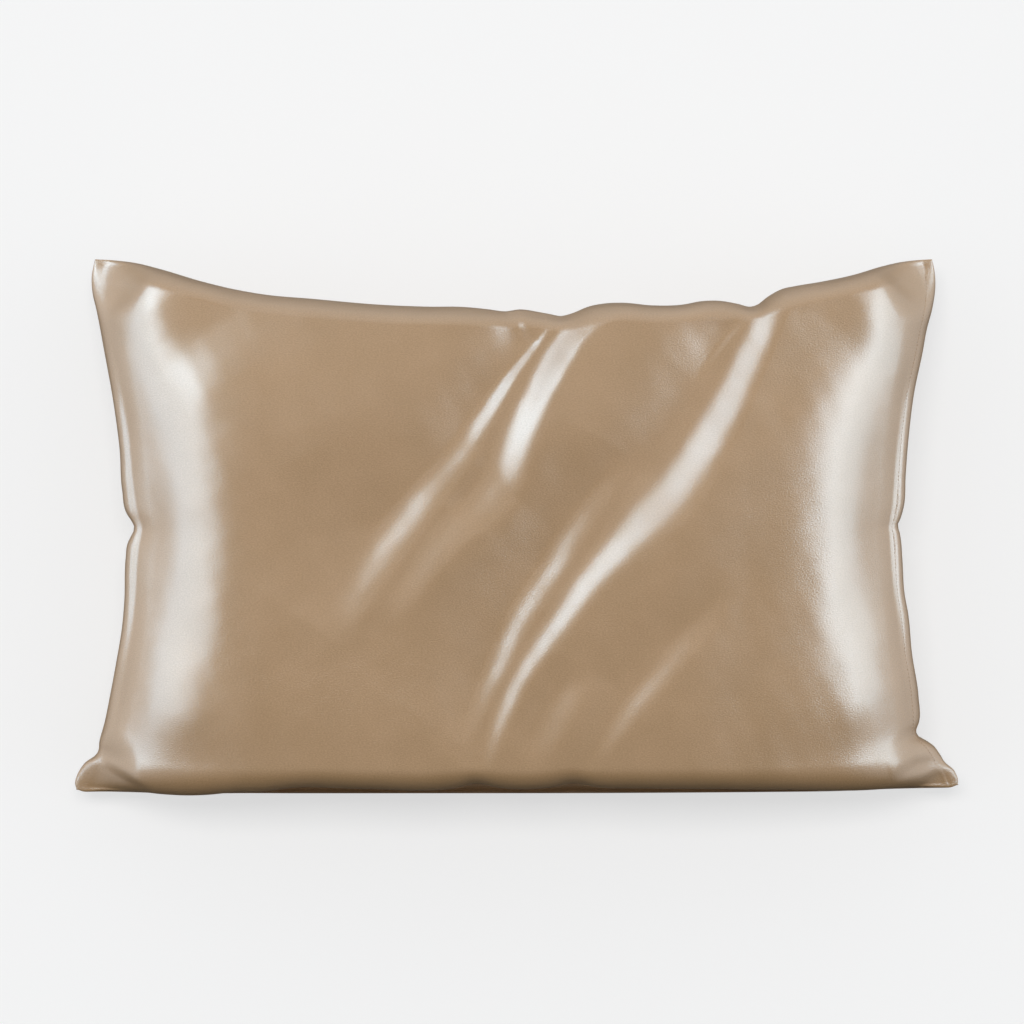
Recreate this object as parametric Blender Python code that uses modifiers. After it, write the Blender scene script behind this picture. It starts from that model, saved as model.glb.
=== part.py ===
"""Satin pillowcase on its pillow, one closed filled form that lies on its back.

The face looks up (+Z), the long side runs along X, and +Y is the edge that is on top when the pillow
stands. The origin is the middle of the outline's box, at the height of the flat patch that it rests on.
Lengths are in metres.

The form is a coarse cage of two panels, face and back, that meet at the seam. Each panel is a patch stretched
between four edge curves, lifted by a crown with soft shoulders, and smoothed by a Subdivision Surface.
"""

from collections import namedtuple

import bmesh
import bpy
import numpy as np
from mathutils import Matrix, Vector

NAME = "pillowcase"

# Plan of the filled case: the four corner tips, from the middle of its outline.
TOP_LEFT = (-0.355, 0.2255)
TOP_RIGHT = (0.3495, 0.2255)
BOTTOM_LEFT = (-0.3738, -0.2245)
BOTTOM_RIGHT = (0.3738, -0.221)

# Heights above the surface it lies on, and reaches across the plan.
SEAM_HEIGHT = 0.068  # the seam at the middle of each side
CORNER_DROP = 0.026  # how far the seam sinks towards a corner tip
DROP_REACH = 0.15  # over this length of the seam
SEAM_THICKNESS = 0.0024  # the layers of cloth in the seam
FACE_CROWN = 0.08  # the face above the seam, at the top of its shoulders
FACE_DOME = 0.004  # what the middle of the face adds to that
EAR_REACH = 0.058  # a corner is nearly flat this far in
EAR_FULLNESS = 0.12  # share of the fullness that is left there
TUCK = 0.011  # how far the lower seam is tucked in under the full lower side
TUCK_DROP = 0.016  # and how far it sinks below the other seams
TUCK_FADE = 0.25  # share of the width over which that fades out
TUCK_ENDS = 0.14  # share of the lower edge at each end where the tuck runs out
LEAN = 0.02  # how far the first row of the face is moved out over the tucked seam
FOLD_CLEAR = 0.03  # the folds of the face fade out this near to the seam

# How the cloth climbs from a side: a quick roll over the seam that does the share roll of the climb within
# roll_reach, and a slow rise that does the rest within reach.
Shoulder = namedtuple("Shoulder", "reach roll roll_reach")
FACE_ENDS = Shoulder(0.15, 0.32, 0.027)
FACE_UPPER = Shoulder(0.15, 0.68, 0.02)
FACE_LOWER = Shoulder(0.08, 0.92, 0.04)
BACK_SIDES = Shoulder(0.118, 0.0, 0.118)

# Cage: cells along the length and across the width of each panel. The columns and rows meet the notches.
CELLS_LONG = 27
CELLS_WIDE = 16
EDGE_CROWDING = 0.5  # 0 spaces the rows evenly, 1 crowds them fully towards the seams
FIRST_ROW = 0.036  # share of the width at which the first row inside the seam lies
SMOOTHING_LEVELS = 1
SEAM_SHARPNESS = 1.0
TIP_SHARPNESS = 0.9

# How far each edge is drawn in from the straight line between its corners: share of the way, then the inset.
# The long edges run from left to right and the short ones from bottom to top.
Drawn = namedtuple("Drawn", "along inset")
TOP_EDGE = (
    Drawn(0.000, 0.0),
    Drawn(0.073, 0.0075),
    Drawn(0.128, 0.0195),
    Drawn(0.206, 0.031),
    Drawn(0.341, 0.0395),
    Drawn(0.437, 0.0415),
    Drawn(0.500, 0.046),
    Drawn(0.556, 0.051),
    Drawn(0.597, 0.0395),
    Drawn(0.718, 0.037),
    Drawn(0.778, 0.043),
    Drawn(0.812, 0.029),
    Drawn(0.864, 0.02),
    Drawn(0.938, 0.007),
    Drawn(1.000, 0.0),
)
BOTTOM_EDGE = (
    Drawn(0.00, 0.0),
    Drawn(0.10, -0.001),
    Drawn(0.24, 0.0015),
    Drawn(0.40, 0.0045),
    Drawn(0.46, 0.0105),
    Drawn(0.51, 0.0065),
    Drawn(0.57, 0.011),
    Drawn(0.64, 0.006),
    Drawn(0.80, 0.0045),
    Drawn(0.93, -0.0005),
    Drawn(1.00, 0.0),
)
LEFT_EDGE = (
    Drawn(0.00, 0.0),
    Drawn(0.05, 0.015),
    Drawn(0.13, 0.024),
    Drawn(0.24, 0.032),
    Drawn(0.36, 0.037),
    Drawn(0.44, 0.0375),
    Drawn(0.50, 0.043),
    Drawn(0.56, 0.036),
    Drawn(0.65, 0.0275),
    Drawn(0.83, 0.0105),
    Drawn(0.93, 0.0015),
    Drawn(1.00, 0.0),
)
RIGHT_EDGE = (
    Drawn(0.00, 0.0),
    Drawn(0.04, 0.015),
    Drawn(0.09, 0.033),
    Drawn(0.17, 0.03),
    Drawn(0.26, 0.0345),
    Drawn(0.35, 0.0355),
    Drawn(0.44, 0.037),
    Drawn(0.50, 0.042),
    Drawn(0.56, 0.0335),
    Drawn(0.65, 0.0275),
    Drawn(0.74, 0.021),
    Drawn(0.85, 0.0085),
    Drawn(0.94, -0.001),
    Drawn(1.00, 0.0),
)

# Long soft folds of the face. Each runs on a bow from head to tail through mid, all places on the plan. It
# stands rise high at the head and keeps tail_share of that at the tail. It falls steeply towards the upper
# left, within steep, and runs out towards the lower right, over gentle. A negative rise is a trough.
Fold = namedtuple("Fold", "name head mid tail rise tail_share steep gentle")
FOLDS = (
    Fold("short_upper", (0.098, 0.186), (0.031, 0.119), (-0.009, 0.02), 0.015, 0.2, 0.024, 0.046),
    Fold("slit_upper", (0.034, 0.175), (-0.018, 0.105), (-0.072, 0.037), -0.007, 0.5, 0.026, 0.02),
    Fold("long_middle", (-0.036, 0.064), (-0.092, -0.008), (-0.138, -0.083), 0.006, 0.2, 0.024, 0.044),
    Fold("long_main", (0.233, 0.19), (0.134, 0.024), (-0.014, -0.19), 0.015, 0.5, 0.026, 0.06),
    Fold("slit_main", (0.198, 0.182), (0.174, 0.152), (0.142, 0.112), -0.007, 0.3, 0.026, 0.02),
    Fold("long_lower", (0.092, 0.034), (0.034, -0.056), (-0.032, -0.176), 0.007, 0.6, 0.022, 0.034),
    Fold("low_right", (0.164, -0.09), (0.123, -0.142), (0.07, -0.19), 0.005, 0.7, 0.022, 0.04),
)
FOLD_POINTS = 40  # points at which a fold's bow is worked out
FOLD_END = 0.12  # share of a fold's length over which it rises at the head and sinks at the tail

# Finish of the satin.
SATIN_COLOUR = (0.36, 0.25, 0.16, 1.0)
SATIN_ROUGHNESS = 0.36


def clear_scene():
    """Remove the objects that the scene starts with."""
    for obj in list(bpy.data.objects):
        bpy.data.objects.remove(obj, do_unlink=True)


def smooth_step(t):
    """0 below 0, 1 above 1, with a smooth climb between."""
    t = np.clip(t, 0.0, 1.0)
    return t * t * (3.0 - 2.0 * t)


def crowded(share):
    """Row positions, part even and part crowded towards both ends as on a cosine."""
    return (1 - EDGE_CROWDING) * share + EDGE_CROWDING * (0.5 - 0.5 * np.cos(np.pi * share))


def inset_along(table, along):
    """The inset at each share of an edge: a smooth curve through the table's rows."""
    at = np.array([row.along for row in table])
    inset = np.array([row.inset for row in table])
    slope = np.gradient(inset, at)
    row = np.clip(np.searchsorted(at, along, side="right") - 1, 0, len(at) - 2)
    span = at[row + 1] - at[row]
    t = (along - at[row]) / span
    start = inset[row] * (1 + 2 * t) * (1 - t) ** 2 + slope[row] * span * t * (1 - t) ** 2
    end = inset[row + 1] * t**2 * (3 - 2 * t) + slope[row + 1] * span * t**2 * (t - 1)
    return start + end


def edge_points(start, end, inward, table, along):
    """Plan points of an edge: the straight line from start to end, moved inward by the table."""
    start, end, inward = np.array(start), np.array(end), np.array(inward)
    return start + np.outer(along, end - start) + np.outer(inset_along(table, along), inward)


def tuck_share(u):
    """How much of the tuck the lower edge has: all of it along the middle, none at its two ends."""
    return smooth_step(u / TUCK_ENDS) * smooth_step((1.0 - u) / TUCK_ENDS)


def plan(u, v):
    """Plan point of each (u, v), on a patch stretched between the four edges (a Coons patch)."""
    top = edge_points(TOP_LEFT, TOP_RIGHT, (0, -1), TOP_EDGE, u)
    bottom = edge_points(BOTTOM_LEFT, BOTTOM_RIGHT, (0, 1), BOTTOM_EDGE, u)
    left = edge_points(BOTTOM_LEFT, TOP_LEFT, (1, 0), LEFT_EDGE, v)
    right = edge_points(BOTTOM_RIGHT, TOP_RIGHT, (-1, 0), RIGHT_EDGE, v)
    a, b = u[:, None], v[:, None]
    corners = (
        (1 - a) * (1 - b) * np.array(BOTTOM_LEFT)
        + a * (1 - b) * np.array(BOTTOM_RIGHT)
        + (1 - a) * b * np.array(TOP_LEFT)
        + a * b * np.array(TOP_RIGHT)
    )
    return (1 - b) * bottom + b * top + (1 - a) * left + a * right - corners


def seam_distances(u, v):
    """Distances of each (u, v) from the nearer short side, from the lower side and from the upper side."""
    length = BOTTOM_RIGHT[0] - BOTTOM_LEFT[0]
    width = TOP_LEFT[1] - BOTTOM_LEFT[1]
    return np.minimum(u, 1 - u) * length, v * width, (1 - v) * width


def climb(distance, shoulder):
    """Share of the climb at each distance from a side: a quarter round, then a parabola."""
    quick = np.sqrt(1 - (1 - np.clip(distance / shoulder.roll_reach, 0, 1)) ** 2)
    slow = 1 - (1 - np.clip(distance / shoulder.reach, 0, 1)) ** 2
    return shoulder.roll * quick + (1 - shoulder.roll) * slow


def fullness(u, v, ends, lower, upper):
    """How full the pillow is, from 0 at the seam and in the flat corners to 1 in the middle."""
    from_ends, from_lower, from_upper = seam_distances(u, v)
    corner = smooth_step(np.hypot(from_ends, np.minimum(from_lower, from_upper)) / EAR_REACH)
    flattened = EAR_FULLNESS + (1 - EAR_FULLNESS) * corner
    return climb(from_ends, ends) * climb(from_lower, lower) * climb(from_upper, upper) * flattened


def seam_level(u, v):
    """Height of the sheet between the panels: the seam's, lower at the corners and where it is tucked."""
    from_ends, from_lower, from_upper = seam_distances(u, v)
    from_sides = np.minimum(from_lower, from_upper)
    to_corner = smooth_step(1.0 - np.hypot(from_ends, from_sides) / DROP_REACH)
    near_lower_edge = smooth_step(1.0 - v / TUCK_FADE)
    return SEAM_HEIGHT - CORNER_DROP * to_corner - TUCK_DROP * tuck_share(u) * near_lower_edge


def fold_height(fold, points):
    """Height that one fold adds at each plan point: a bell across its bow, steeper on the upper left."""
    t = np.linspace(0.0, 1.0, FOLD_POINTS)[:, None]
    head, mid, tail = (np.array(point, dtype=float) for point in (fold.head, fold.mid, fold.tail))
    through = 2 * mid - (head + tail) / 2
    bow = (1 - t) ** 2 * head + 2 * t * (1 - t) * through + t**2 * tail
    away = points[:, None, :] - bow[None, :, :]
    nearest = np.argmin((away**2).sum(axis=2), axis=1)
    offset = away[np.arange(len(points)), nearest]
    along = np.gradient(bow, axis=0)[nearest]
    side = along[:, 0] * offset[:, 1] - along[:, 1] * offset[:, 0]
    reach = np.where(side < 0, fold.steep, fold.gentle)
    share = t[nearest, 0]
    height = fold.rise * (1 + (fold.tail_share - 1) * share)
    ends = smooth_step(share / FOLD_END) * smooth_step((1 - share) / FOLD_END)
    return height * ends * np.exp(-((offset**2).sum(axis=1)) / reach**2)


def tuck_lower_edge(points, u, v, leaning):
    """Draw the lower seam in under the full side. The face leans out over it, most at its first row."""
    share = tuck_share(u)
    points[:, 1] += TUCK * share * (v < FIRST_ROW / 2)
    if leaning:
        rows = v / FIRST_ROW
        points[:, 1] -= LEAN * share * rows * np.exp(1 - rows)
    return points


def face_points(u, v):
    """Points of the face panel."""
    flat = plan(u, v)
    from_ends, from_lower, from_upper = seam_distances(u, v)
    dome = np.sin(np.pi * u) * np.sin(np.pi * v)
    seam = seam_level(u, v) + SEAM_THICKNESS / 2
    height = seam + (SEAM_HEIGHT + FACE_CROWN - seam) * fullness(u, v, FACE_ENDS, FACE_LOWER, FACE_UPPER)
    height += FACE_DOME * dome**2
    from_sides = np.minimum(from_lower, from_upper)
    inside = smooth_step(from_sides / FOLD_CLEAR) * smooth_step(from_ends / FOLD_CLEAR)
    for fold in FOLDS:
        height += fold_height(fold, flat) * inside
    return tuck_lower_edge(np.column_stack([flat, height]), u, v, leaning=True)


def back_points(u, v):
    """Points of the back panel, which comes down to the surface and lies flat on it."""
    fall = 1.0 - fullness(u, v, BACK_SIDES, BACK_SIDES, BACK_SIDES)
    height = (seam_level(u, v) - SEAM_THICKNESS / 2) * fall
    points = np.column_stack([plan(u, v), height])
    return tuck_lower_edge(points, u, v, leaning=False)


def add_panel(mesh, shape, turned):
    """Add one panel to the cage: a flat grid whose vertices shape() moves to their places."""
    grid = bmesh.ops.create_grid(mesh, x_segments=CELLS_LONG, y_segments=CELLS_WIDE, size=0.5)
    vertices = grid["verts"]
    flat = np.array([vertex.co for vertex in vertices])
    u = np.clip(flat[:, 0] + 0.5, 0.0, 1.0)
    v = crowded(np.clip(flat[:, 1] + 0.5, 0.0, 1.0))
    for vertex, place in zip(vertices, shape(u, v)):
        vertex.co = place
    if turned:
        faces = {face for vertex in vertices for face in vertex.link_faces}
        bmesh.ops.reverse_faces(mesh, faces=list(faces))


def build_cage():
    """The cage: both panels, joined all round by the narrow strip of the seam, which stays a sharp edge."""
    mesh = bmesh.new()
    edge_sharpness = mesh.edges.layers.float.new("crease_edge")
    tip_sharpness = mesh.verts.layers.float.new("crease_vert")
    add_panel(mesh, face_points, turned=False)
    add_panel(mesh, back_points, turned=True)
    tips = [vertex for vertex in mesh.verts if len(vertex.link_edges) == 2]
    rims = [edge for edge in mesh.edges if edge.is_boundary]
    bmesh.ops.bridge_loops(mesh, edges=rims)
    for edge in rims:
        edge[edge_sharpness] = SEAM_SHARPNESS
    for vertex in tips:
        vertex[tip_sharpness] = TIP_SHARPNESS
    return mesh


def satin():
    """The satin of the case."""
    material = bpy.data.materials.new("satin")
    material.use_nodes = True
    shader = material.node_tree.nodes["Principled BSDF"]
    shader.inputs["Base Color"].default_value = SATIN_COLOUR
    shader.inputs["Roughness"].default_value = SATIN_ROUGHNESS
    shader.inputs["Metallic"].default_value = 0.0
    material.diffuse_color = SATIN_COLOUR
    return material


def centre_on_base(obj):
    """Move the mesh so that the smoothed form rests at height 0, with its outline centred on the origin."""
    bpy.context.view_layer.update()
    smoothed = obj.evaluated_get(bpy.context.evaluated_depsgraph_get())
    points = np.array([vertex.co for vertex in smoothed.to_mesh().vertices])
    smoothed.to_mesh_clear()
    low, high = points.min(axis=0), points.max(axis=0)
    middle = Vector(((low[0] + high[0]) / 2, (low[1] + high[1]) / 2, low[2]))
    obj.data.transform(Matrix.Translation(-middle))


def build_pillowcase():
    """The case as an object in its own collection: the cage under its smoothing."""
    mesh = build_cage()
    data = bpy.data.meshes.new(NAME)
    mesh.to_mesh(data)
    mesh.free()
    data.shade_smooth()
    data.materials.append(satin())
    obj = bpy.data.objects.new(NAME, data)
    collection = bpy.data.collections.new("filled_" + NAME)
    bpy.context.scene.collection.children.link(collection)
    collection.objects.link(obj)
    smoothing = obj.modifiers.new("smoothing", "SUBSURF")
    smoothing.levels = SMOOTHING_LEVELS
    smoothing.render_levels = SMOOTHING_LEVELS
    centre_on_base(obj)
    return obj


def main():
    """Build the pillowcase in an empty scene."""
    clear_scene()
    build_pillowcase()


main()
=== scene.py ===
"""A satin pillowcase on its pillow, lying on its back and seen from straight above its face.

Lengths are in metres. +Z is up out of the face, +X runs along the long side and +Y is the edge that is on top
when the pillow stands. Every place on the plan is measured from the middle of the pillow's outline.
"""

from __future__ import annotations

import logging
import math
from dataclasses import dataclass, field
from enum import Enum

import bpy
import numpy as np
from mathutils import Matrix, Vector


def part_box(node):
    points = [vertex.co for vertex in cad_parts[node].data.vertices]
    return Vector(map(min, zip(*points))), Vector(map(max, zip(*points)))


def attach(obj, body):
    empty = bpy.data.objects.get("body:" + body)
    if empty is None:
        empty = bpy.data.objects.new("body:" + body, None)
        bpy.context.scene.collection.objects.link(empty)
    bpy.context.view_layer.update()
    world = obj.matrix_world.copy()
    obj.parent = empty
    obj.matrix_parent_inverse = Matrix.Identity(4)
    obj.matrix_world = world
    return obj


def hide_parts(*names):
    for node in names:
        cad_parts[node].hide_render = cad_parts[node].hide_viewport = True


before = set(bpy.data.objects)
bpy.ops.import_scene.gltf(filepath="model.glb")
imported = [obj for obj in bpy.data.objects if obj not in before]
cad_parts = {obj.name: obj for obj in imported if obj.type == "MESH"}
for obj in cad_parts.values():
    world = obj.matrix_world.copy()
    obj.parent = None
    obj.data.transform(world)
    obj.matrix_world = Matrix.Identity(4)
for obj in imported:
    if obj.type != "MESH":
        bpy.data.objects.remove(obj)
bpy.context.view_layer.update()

LOG = logging.getLogger("pillowcase")
NODE = "pillowcase"
BODY = "root"
CLOTH_MAP = "cloth"


# ---- Shared arithmetic ----


def linear(hex_colour: str) -> tuple[float, float, float, float]:
    """Turn an sRGB colour into the linear one that the shaders use.

    Args:
        hex_colour: six hexadecimal digits.

    Returns:
        Red, green, blue and an alpha of 1.
    """
    channels = [int(hex_colour[i : i + 2], 16) / 255 for i in (0, 2, 4)]
    red, green, blue = (c / 12.92 if c <= 0.04045 else ((c + 0.055) / 1.055) ** 2.4 for c in channels)
    return red, green, blue, 1.0


def smooth_step(t: np.ndarray) -> np.ndarray:
    """0 below 0 and 1 above 1, with the cubic 3t^2 - 2t^3 between."""
    t = np.clip(t, 0.0, 1.0)
    return t * t * (3.0 - 2.0 * t)


def crowded(count: int, crowding: float) -> np.ndarray:
    """Shares from 0 to 1, closer together towards both ends.

    Args:
        count: how many.
        crowding: share of a half cosine wave in the spacing; the rest is even.

    Returns:
        The shares, rising.
    """
    even = np.linspace(0, 1, count)
    return (1 - crowding) * even + crowding * (0.5 - 0.5 * np.cos(np.pi * even))


def through(at: np.ndarray, values: np.ndarray, where: np.ndarray) -> np.ndarray:
    """Read a smooth curve through given values: a cubic on each span, with slopes shared between spans.

    Args:
        at: increasing places of the values.
        values: one value, or one row of values, at each place.
        where: places to read the curve at.

    Returns:
        The curve's value, or row of values, at each place asked for.
    """
    slope = np.gradient(values, at, axis=0)
    span = np.clip(np.searchsorted(at, where, side="right") - 1, 0, len(at) - 2)
    step = at[span + 1] - at[span]
    t = (where - at[span]) / step
    if values.ndim > 1:
        t, step = t[:, None], step[:, None]
    start = values[span] * (1 + 2 * t) * (1 - t) ** 2 + slope[span] * step * t * (1 - t) ** 2
    end = values[span + 1] * t**2 * (3 - 2 * t) + slope[span + 1] * step * t**2 * (t - 1)
    return start + end


# ---- The plan: the outline as the photo shows it ----


BROAD = 0.045  # width of the bell curve that parts an edge's broad line from its nicks, a share of the edge
NICK_REACH = 0.016  # how far in from the edge a nick is felt
BELL_HALF = 2.5  # where the bell curve is cut off on each side, in its widths
BELL_SAMPLES = 41


@dataclass(frozen=True)
class Drawn:
    """One row of an edge: at this share of the way, the cloth is drawn in by this much."""

    along: float
    inset: float


def read_inset(rows: tuple[Drawn, ...], along: np.ndarray) -> np.ndarray:
    """How far the cloth is drawn in: the curve through an edge's rows, read at shares of the way.

    Args:
        rows: the edge's rows.
        along: shares of the way, from 0 to 1, in any shape.

    Returns:
        The inset at each share, in the same shape.
    """
    at = np.array([row.along for row in rows])
    return through(at, np.array([row.inset for row in rows]), along.ravel()).reshape(along.shape)


TOP_EDGE = (
    Drawn(0.000, 0.0000),
    Drawn(0.020, 0.0008),
    Drawn(0.050, 0.0035),
    Drawn(0.081, 0.0092),
    Drawn(0.128, 0.0194),
    Drawn(0.166, 0.0262),
    Drawn(0.206, 0.0312),
    Drawn(0.260, 0.0346),
    Drawn(0.341, 0.0396),
    Drawn(0.400, 0.0413),
    Drawn(0.440, 0.0415),
    Drawn(0.470, 0.0435),
    Drawn(0.490, 0.0452),
    Drawn(0.508, 0.0436),
    Drawn(0.530, 0.0458),
    Drawn(0.545, 0.0478),
    Drawn(0.5562, 0.0492),
    Drawn(0.568, 0.0472),
    Drawn(0.590, 0.0410),
    Drawn(0.608, 0.0386),
    Drawn(0.630, 0.0380),
    Drawn(0.665, 0.0402),
    Drawn(0.700, 0.0396),
    Drawn(0.724, 0.0366),
    Drawn(0.745, 0.0364),
    Drawn(0.765, 0.0388),
    Drawn(0.7799, 0.0414),
    Drawn(0.790, 0.0394),
    Drawn(0.800, 0.0338),
    Drawn(0.818, 0.0266),
    Drawn(0.835, 0.0238),
    Drawn(0.864, 0.0202),
    Drawn(0.908, 0.0132),
    Drawn(0.938, 0.0066),
    Drawn(0.965, 0.0022),
    Drawn(0.985, 0.0006),
    Drawn(1.000, 0.0000),
)
BOTTOM_EDGE = (
    Drawn(0.000, 0.0000),
    Drawn(0.030, 0.0005),
    Drawn(0.060, 0.0000),
    Drawn(0.105, -0.0012),
    Drawn(0.150, -0.0012),
    Drawn(0.185, -0.0009),
    Drawn(0.245, -0.0012),
    Drawn(0.400, -0.0018),
    Drawn(0.600, -0.0024),
    Drawn(0.800, -0.0022),
    Drawn(0.875, -0.0019),
    Drawn(0.920, -0.0008),
    Drawn(0.960, -0.0002),
    Drawn(1.000, 0.0000),
)
# How far the full lower side stays behind the lower seam, which shows past it as a dark lip.
LOWER_SIDE = (
    Drawn(0.000, 0.0000),
    Drawn(0.100, 0.0004),
    Drawn(0.150, 0.0020),
    Drawn(0.185, 0.0046),
    Drawn(0.212, 0.0052),
    Drawn(0.250, 0.0090),
    Drawn(0.330, 0.0080),
    Drawn(0.430, 0.0086),
    Drawn(0.458, 0.0130),
    Drawn(0.478, 0.0098),
    Drawn(0.505, 0.0078),
    Drawn(0.540, 0.0096),
    Drawn(0.567, 0.0134),
    Drawn(0.592, 0.0096),
    Drawn(0.640, 0.0084),
    Drawn(0.700, 0.0076),
    Drawn(0.780, 0.0060),
    Drawn(0.860, 0.0036),
    Drawn(0.910, 0.0008),
    Drawn(1.000, 0.0000),
)
LEFT_EDGE = (
    Drawn(0.000, 0.0000),
    Drawn(0.012, 0.0000),
    Drawn(0.022, 0.0008),
    Drawn(0.034, 0.0026),
    Drawn(0.048, 0.0060),
    Drawn(0.058, 0.0098),
    Drawn(0.064, 0.0138),
    Drawn(0.07, 0.0176),
    Drawn(0.078, 0.0196),
    Drawn(0.095, 0.0204),
    Drawn(0.13, 0.0243),
    Drawn(0.185, 0.0289),
    Drawn(0.24, 0.0330),
    Drawn(0.316, 0.0376),
    Drawn(0.36, 0.0385),
    Drawn(0.44, 0.0382),
    Drawn(0.468, 0.0394),
    Drawn(0.483, 0.0424),
    Drawn(0.4955, 0.0446),
    Drawn(0.508, 0.0422),
    Drawn(0.522, 0.0378),
    Drawn(0.566, 0.0330),
    Drawn(0.644, 0.0294),
    Drawn(0.731, 0.0224),
    Drawn(0.828, 0.0120),
    Drawn(0.903, 0.0036),
    Drawn(0.94, -0.0010),
    Drawn(0.968, -0.0021),
    Drawn(1.000, 0.0000),
)
RIGHT_EDGE = (
    Drawn(0.000, 0.0000),
    Drawn(0.013, 0.0014),
    Drawn(0.024, 0.0032),
    Drawn(0.036, 0.0062),
    Drawn(0.046, 0.0116),
    Drawn(0.066, 0.0172),
    Drawn(0.081, 0.0222),
    Drawn(0.0905, 0.0282),
    Drawn(0.099, 0.0346),
    Drawn(0.108, 0.0360),
    Drawn(0.125, 0.0332),
    Drawn(0.174, 0.0329),
    Drawn(0.257, 0.0372),
    Drawn(0.33, 0.0388),
    Drawn(0.37, 0.0410),
    Drawn(0.43, 0.0412),
    Drawn(0.47, 0.0416),
    Drawn(0.485, 0.0424),
    Drawn(0.4955, 0.0438),
    Drawn(0.508, 0.0412),
    Drawn(0.53, 0.0378),
    Drawn(0.59, 0.0346),
    Drawn(0.655, 0.0308),
    Drawn(0.745, 0.0234),
    Drawn(0.826, 0.0132),
    Drawn(0.866, 0.0086),
    Drawn(0.906, 0.0026),
    Drawn(0.95, -0.0014),
    Drawn(0.975, -0.0016),
    Drawn(1.000, 0.0000),
)


@dataclass(frozen=True)
class Edge:
    """One side of the plan, from one corner tip to the next, drawn in by its rows."""

    start: tuple[float, float]
    end: tuple[float, float]
    inward: tuple[float, float]
    rows: tuple[Drawn, ...]

    def broad_inset(self, along: np.ndarray) -> np.ndarray:
        """The inset without its nicks: its mean under a bell curve of the width BROAD.

        Past each end the inset goes on with its sign turned, so that the corner tips stay where they are.

        Args:
            along: shares of the way, from 0 to 1.

        Returns:
            The smoothed inset at each share.
        """
        offsets = np.linspace(-BELL_HALF, BELL_HALF, BELL_SAMPLES)
        weights = np.exp(-(offsets**2))
        places = along[:, None] + BROAD * offsets[None, :]
        sign = np.where((places < 0) | (places > 1), -1.0, 1.0)
        folded = np.abs(1 - np.abs(1 - np.abs(places)))
        values = read_inset(self.rows, folded) * sign
        return (values * weights).sum(axis=1) / weights.sum()

    def points(self, along: np.ndarray) -> np.ndarray:
        """Plan points: the straight line from start to end, moved inward by the broad inset.

        Args:
            along: shares of the way, from 0 to 1.

        Returns:
            One x and y for each share.
        """
        start, end = np.array(self.start), np.array(self.end)
        return start + np.outer(along, end - start) + np.outer(self.broad_inset(along), self.inward)

    def nicks(self, along: np.ndarray, gap: np.ndarray) -> np.ndarray:
        """Moves that put the nicks and bumps back near the edge: the fine inset, fading over NICK_REACH.

        Args:
            along: shares of the way, from 0 to 1.
            gap: distances in from the edge.

        Returns:
            Moves as an array of gaps, shares and x, y.
        """
        fine = read_inset(self.rows, along) - self.broad_inset(along)
        moves = fine[:, None] * np.array(self.inward)
        return np.exp(-gap / NICK_REACH)[:, None, None] * moves[None, :, :]


# ---- Folds of the face ----

LOOK_AHEAD = 0.001  # distance over which a fold's path is read for its direction
END_FADE = 0.010  # distance over which a fold fades past its first and last stations
LEAST_WIDTH = 0.005  # narrowest slope that a curve through the stations may give
JUST_INSIDE = 1e-9  # keeps the last place read on the last span


@dataclass(frozen=True)
class Station:
    """One place on a fold's lit slope: where its middle is, how wide it is, and how far it climbs."""

    x: float
    y: float
    width: float
    climb: float


@dataclass(frozen=True)
class Fold:
    """A long soft fold: a slope that climbs to the left of its path, between a trough and a crest.

    The path runs from the first station to the last. Across it the height dips on the right by the share
    dip of the climb, fading over lead, rises smoothly over the slope's width, and sinks back over run on the
    left.
    """

    name: str
    dip: float
    lead: float
    run: float
    stations: tuple[Station, ...]

    def height(self, x: np.ndarray, y: np.ndarray) -> np.ndarray:
        """Height that the fold adds at each plan point.

        Places are read along and across the straight line from the first station to the last: at each place
        along it, curves through the stations give the path's distance across, the slope's width w and its
        climb c. With d the distance from the path, positive on its left, the height right of the slope is
        -dip c exp(-((-d - w/2)/lead)^2), left of it (1 - dip) c exp(-((d - w/2)/run)^2), and across it a
        smooth step from one to the other. Past the ends it fades as exp(-(past/END_FADE)^2).

        Args:
            x: plan places along the length.
            y: plan places across the width.

        Returns:
            Heights, in the same shape.
        """
        rows = np.array([(s.x, s.y, s.width, s.climb) for s in self.stations])
        line = rows[-1, :2] - rows[0, :2]
        line /= np.hypot(*line)
        along = rows[:, :2] @ line
        across = rows[:, :2] @ np.array([-line[1], line[0]])
        a = x * line[0] + y * line[1]
        b = y * line[0] - x * line[1]
        last = along[-1] - JUST_INSIDE
        held = np.clip(a, along[0], last).ravel()
        read = through(along, np.column_stack([across, rows[:, 2:]]), held)
        ahead = through(along, across, np.clip(held + LOOK_AHEAD, along[0], last))
        turn = np.sqrt(1 + ((ahead - read[:, 0]) / LOOK_AHEAD) ** 2).reshape(x.shape)
        middle, width, climb = (read[:, i].reshape(x.shape) for i in range(3))
        width, climb = np.maximum(width, LEAST_WIDTH), np.maximum(climb, 0.0)
        d = (b - middle) / turn
        trough = -self.dip * np.exp(-((np.maximum(-d - width / 2, 0.0) / self.lead) ** 2))
        crest = (1 - self.dip) * np.exp(-((np.maximum(d - width / 2, 0.0) / self.run) ** 2))
        share = smooth_step(d / width + 0.5)
        past = np.maximum(np.maximum(along[0] - a, a - along[-1]), 0.0)
        return climb * (trough * (1 - share) + crest * share) * np.exp(-((past / END_FADE) ** 2))


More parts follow.
